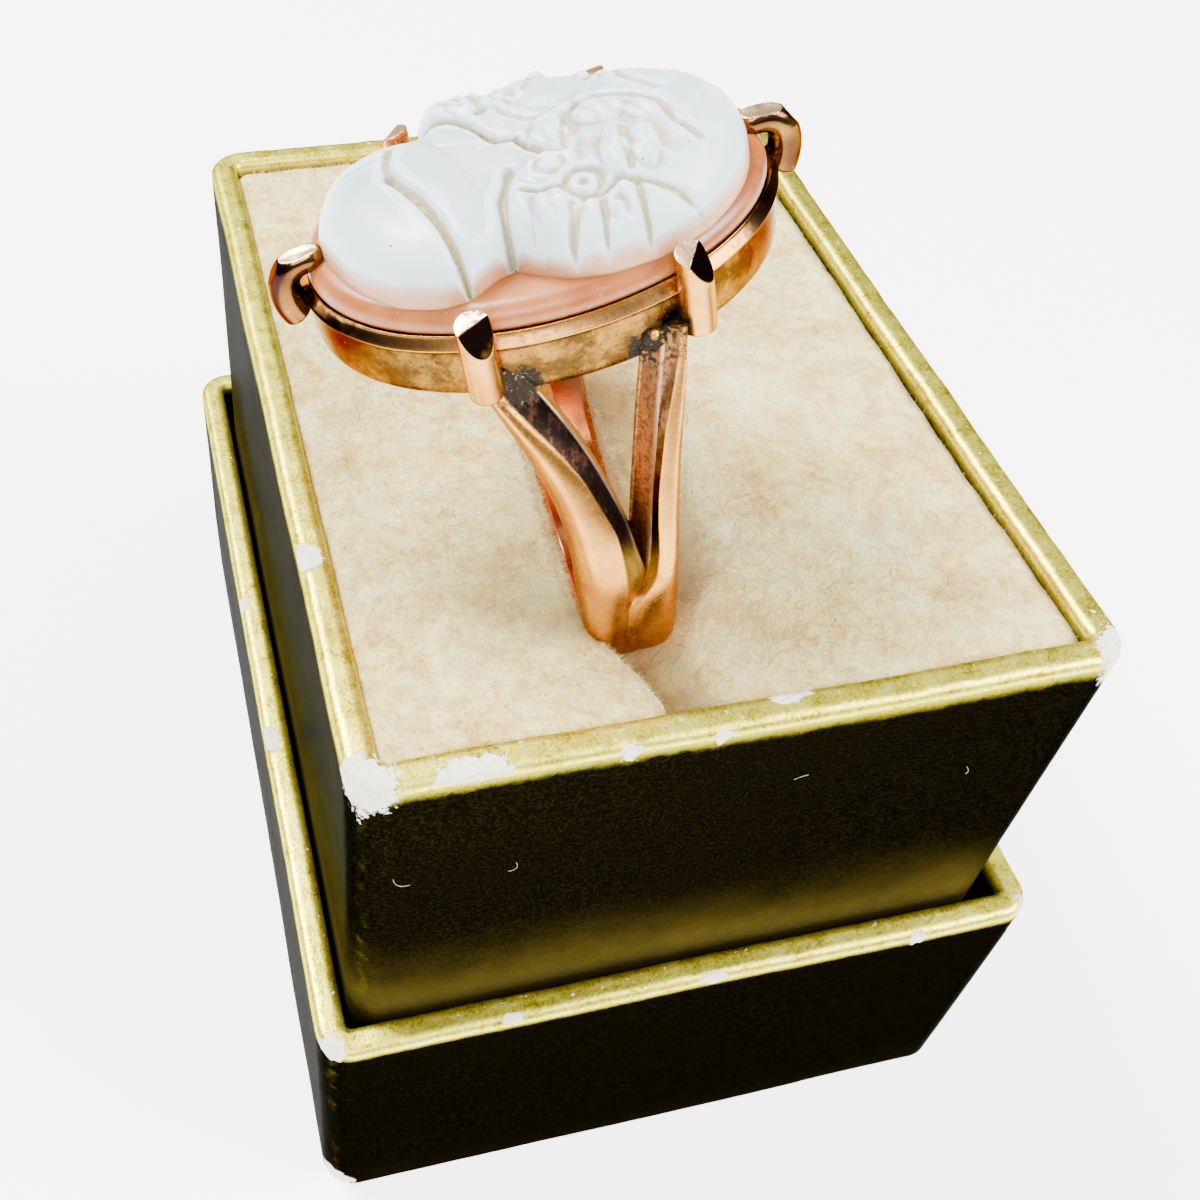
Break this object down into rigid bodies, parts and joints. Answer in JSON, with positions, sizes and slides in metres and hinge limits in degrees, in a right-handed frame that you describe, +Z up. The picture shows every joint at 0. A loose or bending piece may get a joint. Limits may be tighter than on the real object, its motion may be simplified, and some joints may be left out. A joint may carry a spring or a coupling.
{
  "type": "cameo ring in ring box",
  "caption": "Oval cameo ring, gold split-shank hoop and six-claw collet, standing in the velvet slot of its open gold card ring box.",
  "frame": {"origin": "middle of the lower box's base, on the surface it stands on", "axes": "+X to the right along the box's short side, +Y away from the viewer along its long side, +Z up"},
  "size_m": [0.036, 0.0472, 0.0548],
  "materials": {
    "gold_paper_lid": "card covered with worn gold foil paper",
    "gold_paper_tray": "card covered with worn gold foil paper",
    "velvet": "cream velvet over a soft pad",
    "gold": "polished rose gold with dirt in the corners",
    "coral_ground": "polished coral-coloured shell layer",
    "white_relief": "polished white shell layer, carved"
  },
  "bodies": {
    "root": {"lid": "gold_paper_lid", "tray": "gold_paper_tray", "pad_left": "velvet", "pad_right": "velvet", "ring_mount": "gold", "cameo_ground": "coral_ground", "cameo_relief": "white_relief"}
  },
  "joints": []
}
